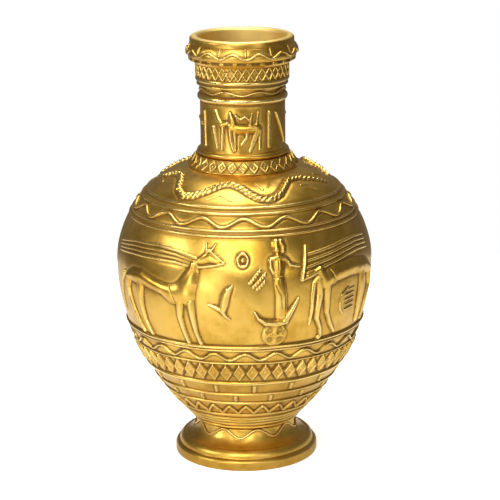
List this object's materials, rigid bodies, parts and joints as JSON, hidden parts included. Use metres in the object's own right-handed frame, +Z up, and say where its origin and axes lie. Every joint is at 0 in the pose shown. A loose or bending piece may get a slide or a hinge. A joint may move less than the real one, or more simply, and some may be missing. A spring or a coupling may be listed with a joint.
{
  "type": "brass kalash pot",
  "caption": "Tall antique gold brass kalash pot on a round pedestal foot, with raised animals and wavy bands all round its body and neck.",
  "frame": {"origin": "middle of the foot's bottom face, on the surface that the pot stands on", "axes": "+Z up along the pot's axis, out of the mouth; -Y towards the front, where the figure and the facing animals are; +X to the right seen from the front"},
  "size_m": [0.2089, 0.2122, 0.35],
  "materials": {
    "body_brass": "satin antique gold",
    "relief_brass": "satin with brown patina in the hollows",
    "ring_brass": "rubbed bright on the crowns",
    "stud_brass": "machined, dull",
    "zinc_steel": "zinc plated"
  },
  "bodies": {
    "root": {"foot": "body_brass", "foot_wave_wire": "relief_brass", "foot_stud": "stud_brass", "foot_washer": "zinc_steel", "foot_nut": "zinc_steel", "waist_ring": "body_brass", "lower_bowl": "body_brass", "bowl_base_rings": "ring_brass", "zigzag_wire": "relief_brass", "bowl_middle_rings": "ring_brass", "lower_tick_bars": "ring_brass", "upper_tick_bars": "ring_brass", "bowl_seam_ring": "ring_brass", "belly_shell": "body_brass", "diamond_band": "relief_brass", "belly_rings": "ring_brass", "belly_wave_wire": "relief_brass", "frieze_base_ring": "ring_brass", "stag_front": "relief_brass", "stag_back": "relief_brass", "sun_rings": "relief_brass", "bird_reliefs": "relief_brass", "grain_marks": "relief_brass", "figure_front": "relief_brass", "figure_back": "relief_brass", "ox_wheel_front": "relief_brass", "ox_wheel_back": "relief_brass", "bull_front": "relief_brass", "bull_back": "relief_brass", "comb_reliefs": "relief_brass", "shoulder_seam_ring": "ring_brass", "shoulder_shell": "body_brass", "shoulder_wave_wire": "relief_brass", "shoulder_rings": "ring_brass", "snake_front": "relief_brass", "snake_back": "relief_brass", "shoulder_marks": "relief_brass", "neck_collar": "body_brass", "collar_lozenges": "relief_brass", "neck_tube": "body_brass", "neck_base_ring": "ring_brass", "neck_animals": "relief_brass", "neck_bead_ring": "ring_brass", "neck_wave_wire": "relief_brass", "neck_rings": "ring_brass", "neck_lattice": "relief_brass", "dentil_ring": "relief_brass", "rim_collar": "body_brass", "rim_wave_wire": "ring_brass", "rim_tick_bars": "ring_brass", "mouth_lip": "body_brass"}
  },
  "joints": []
}
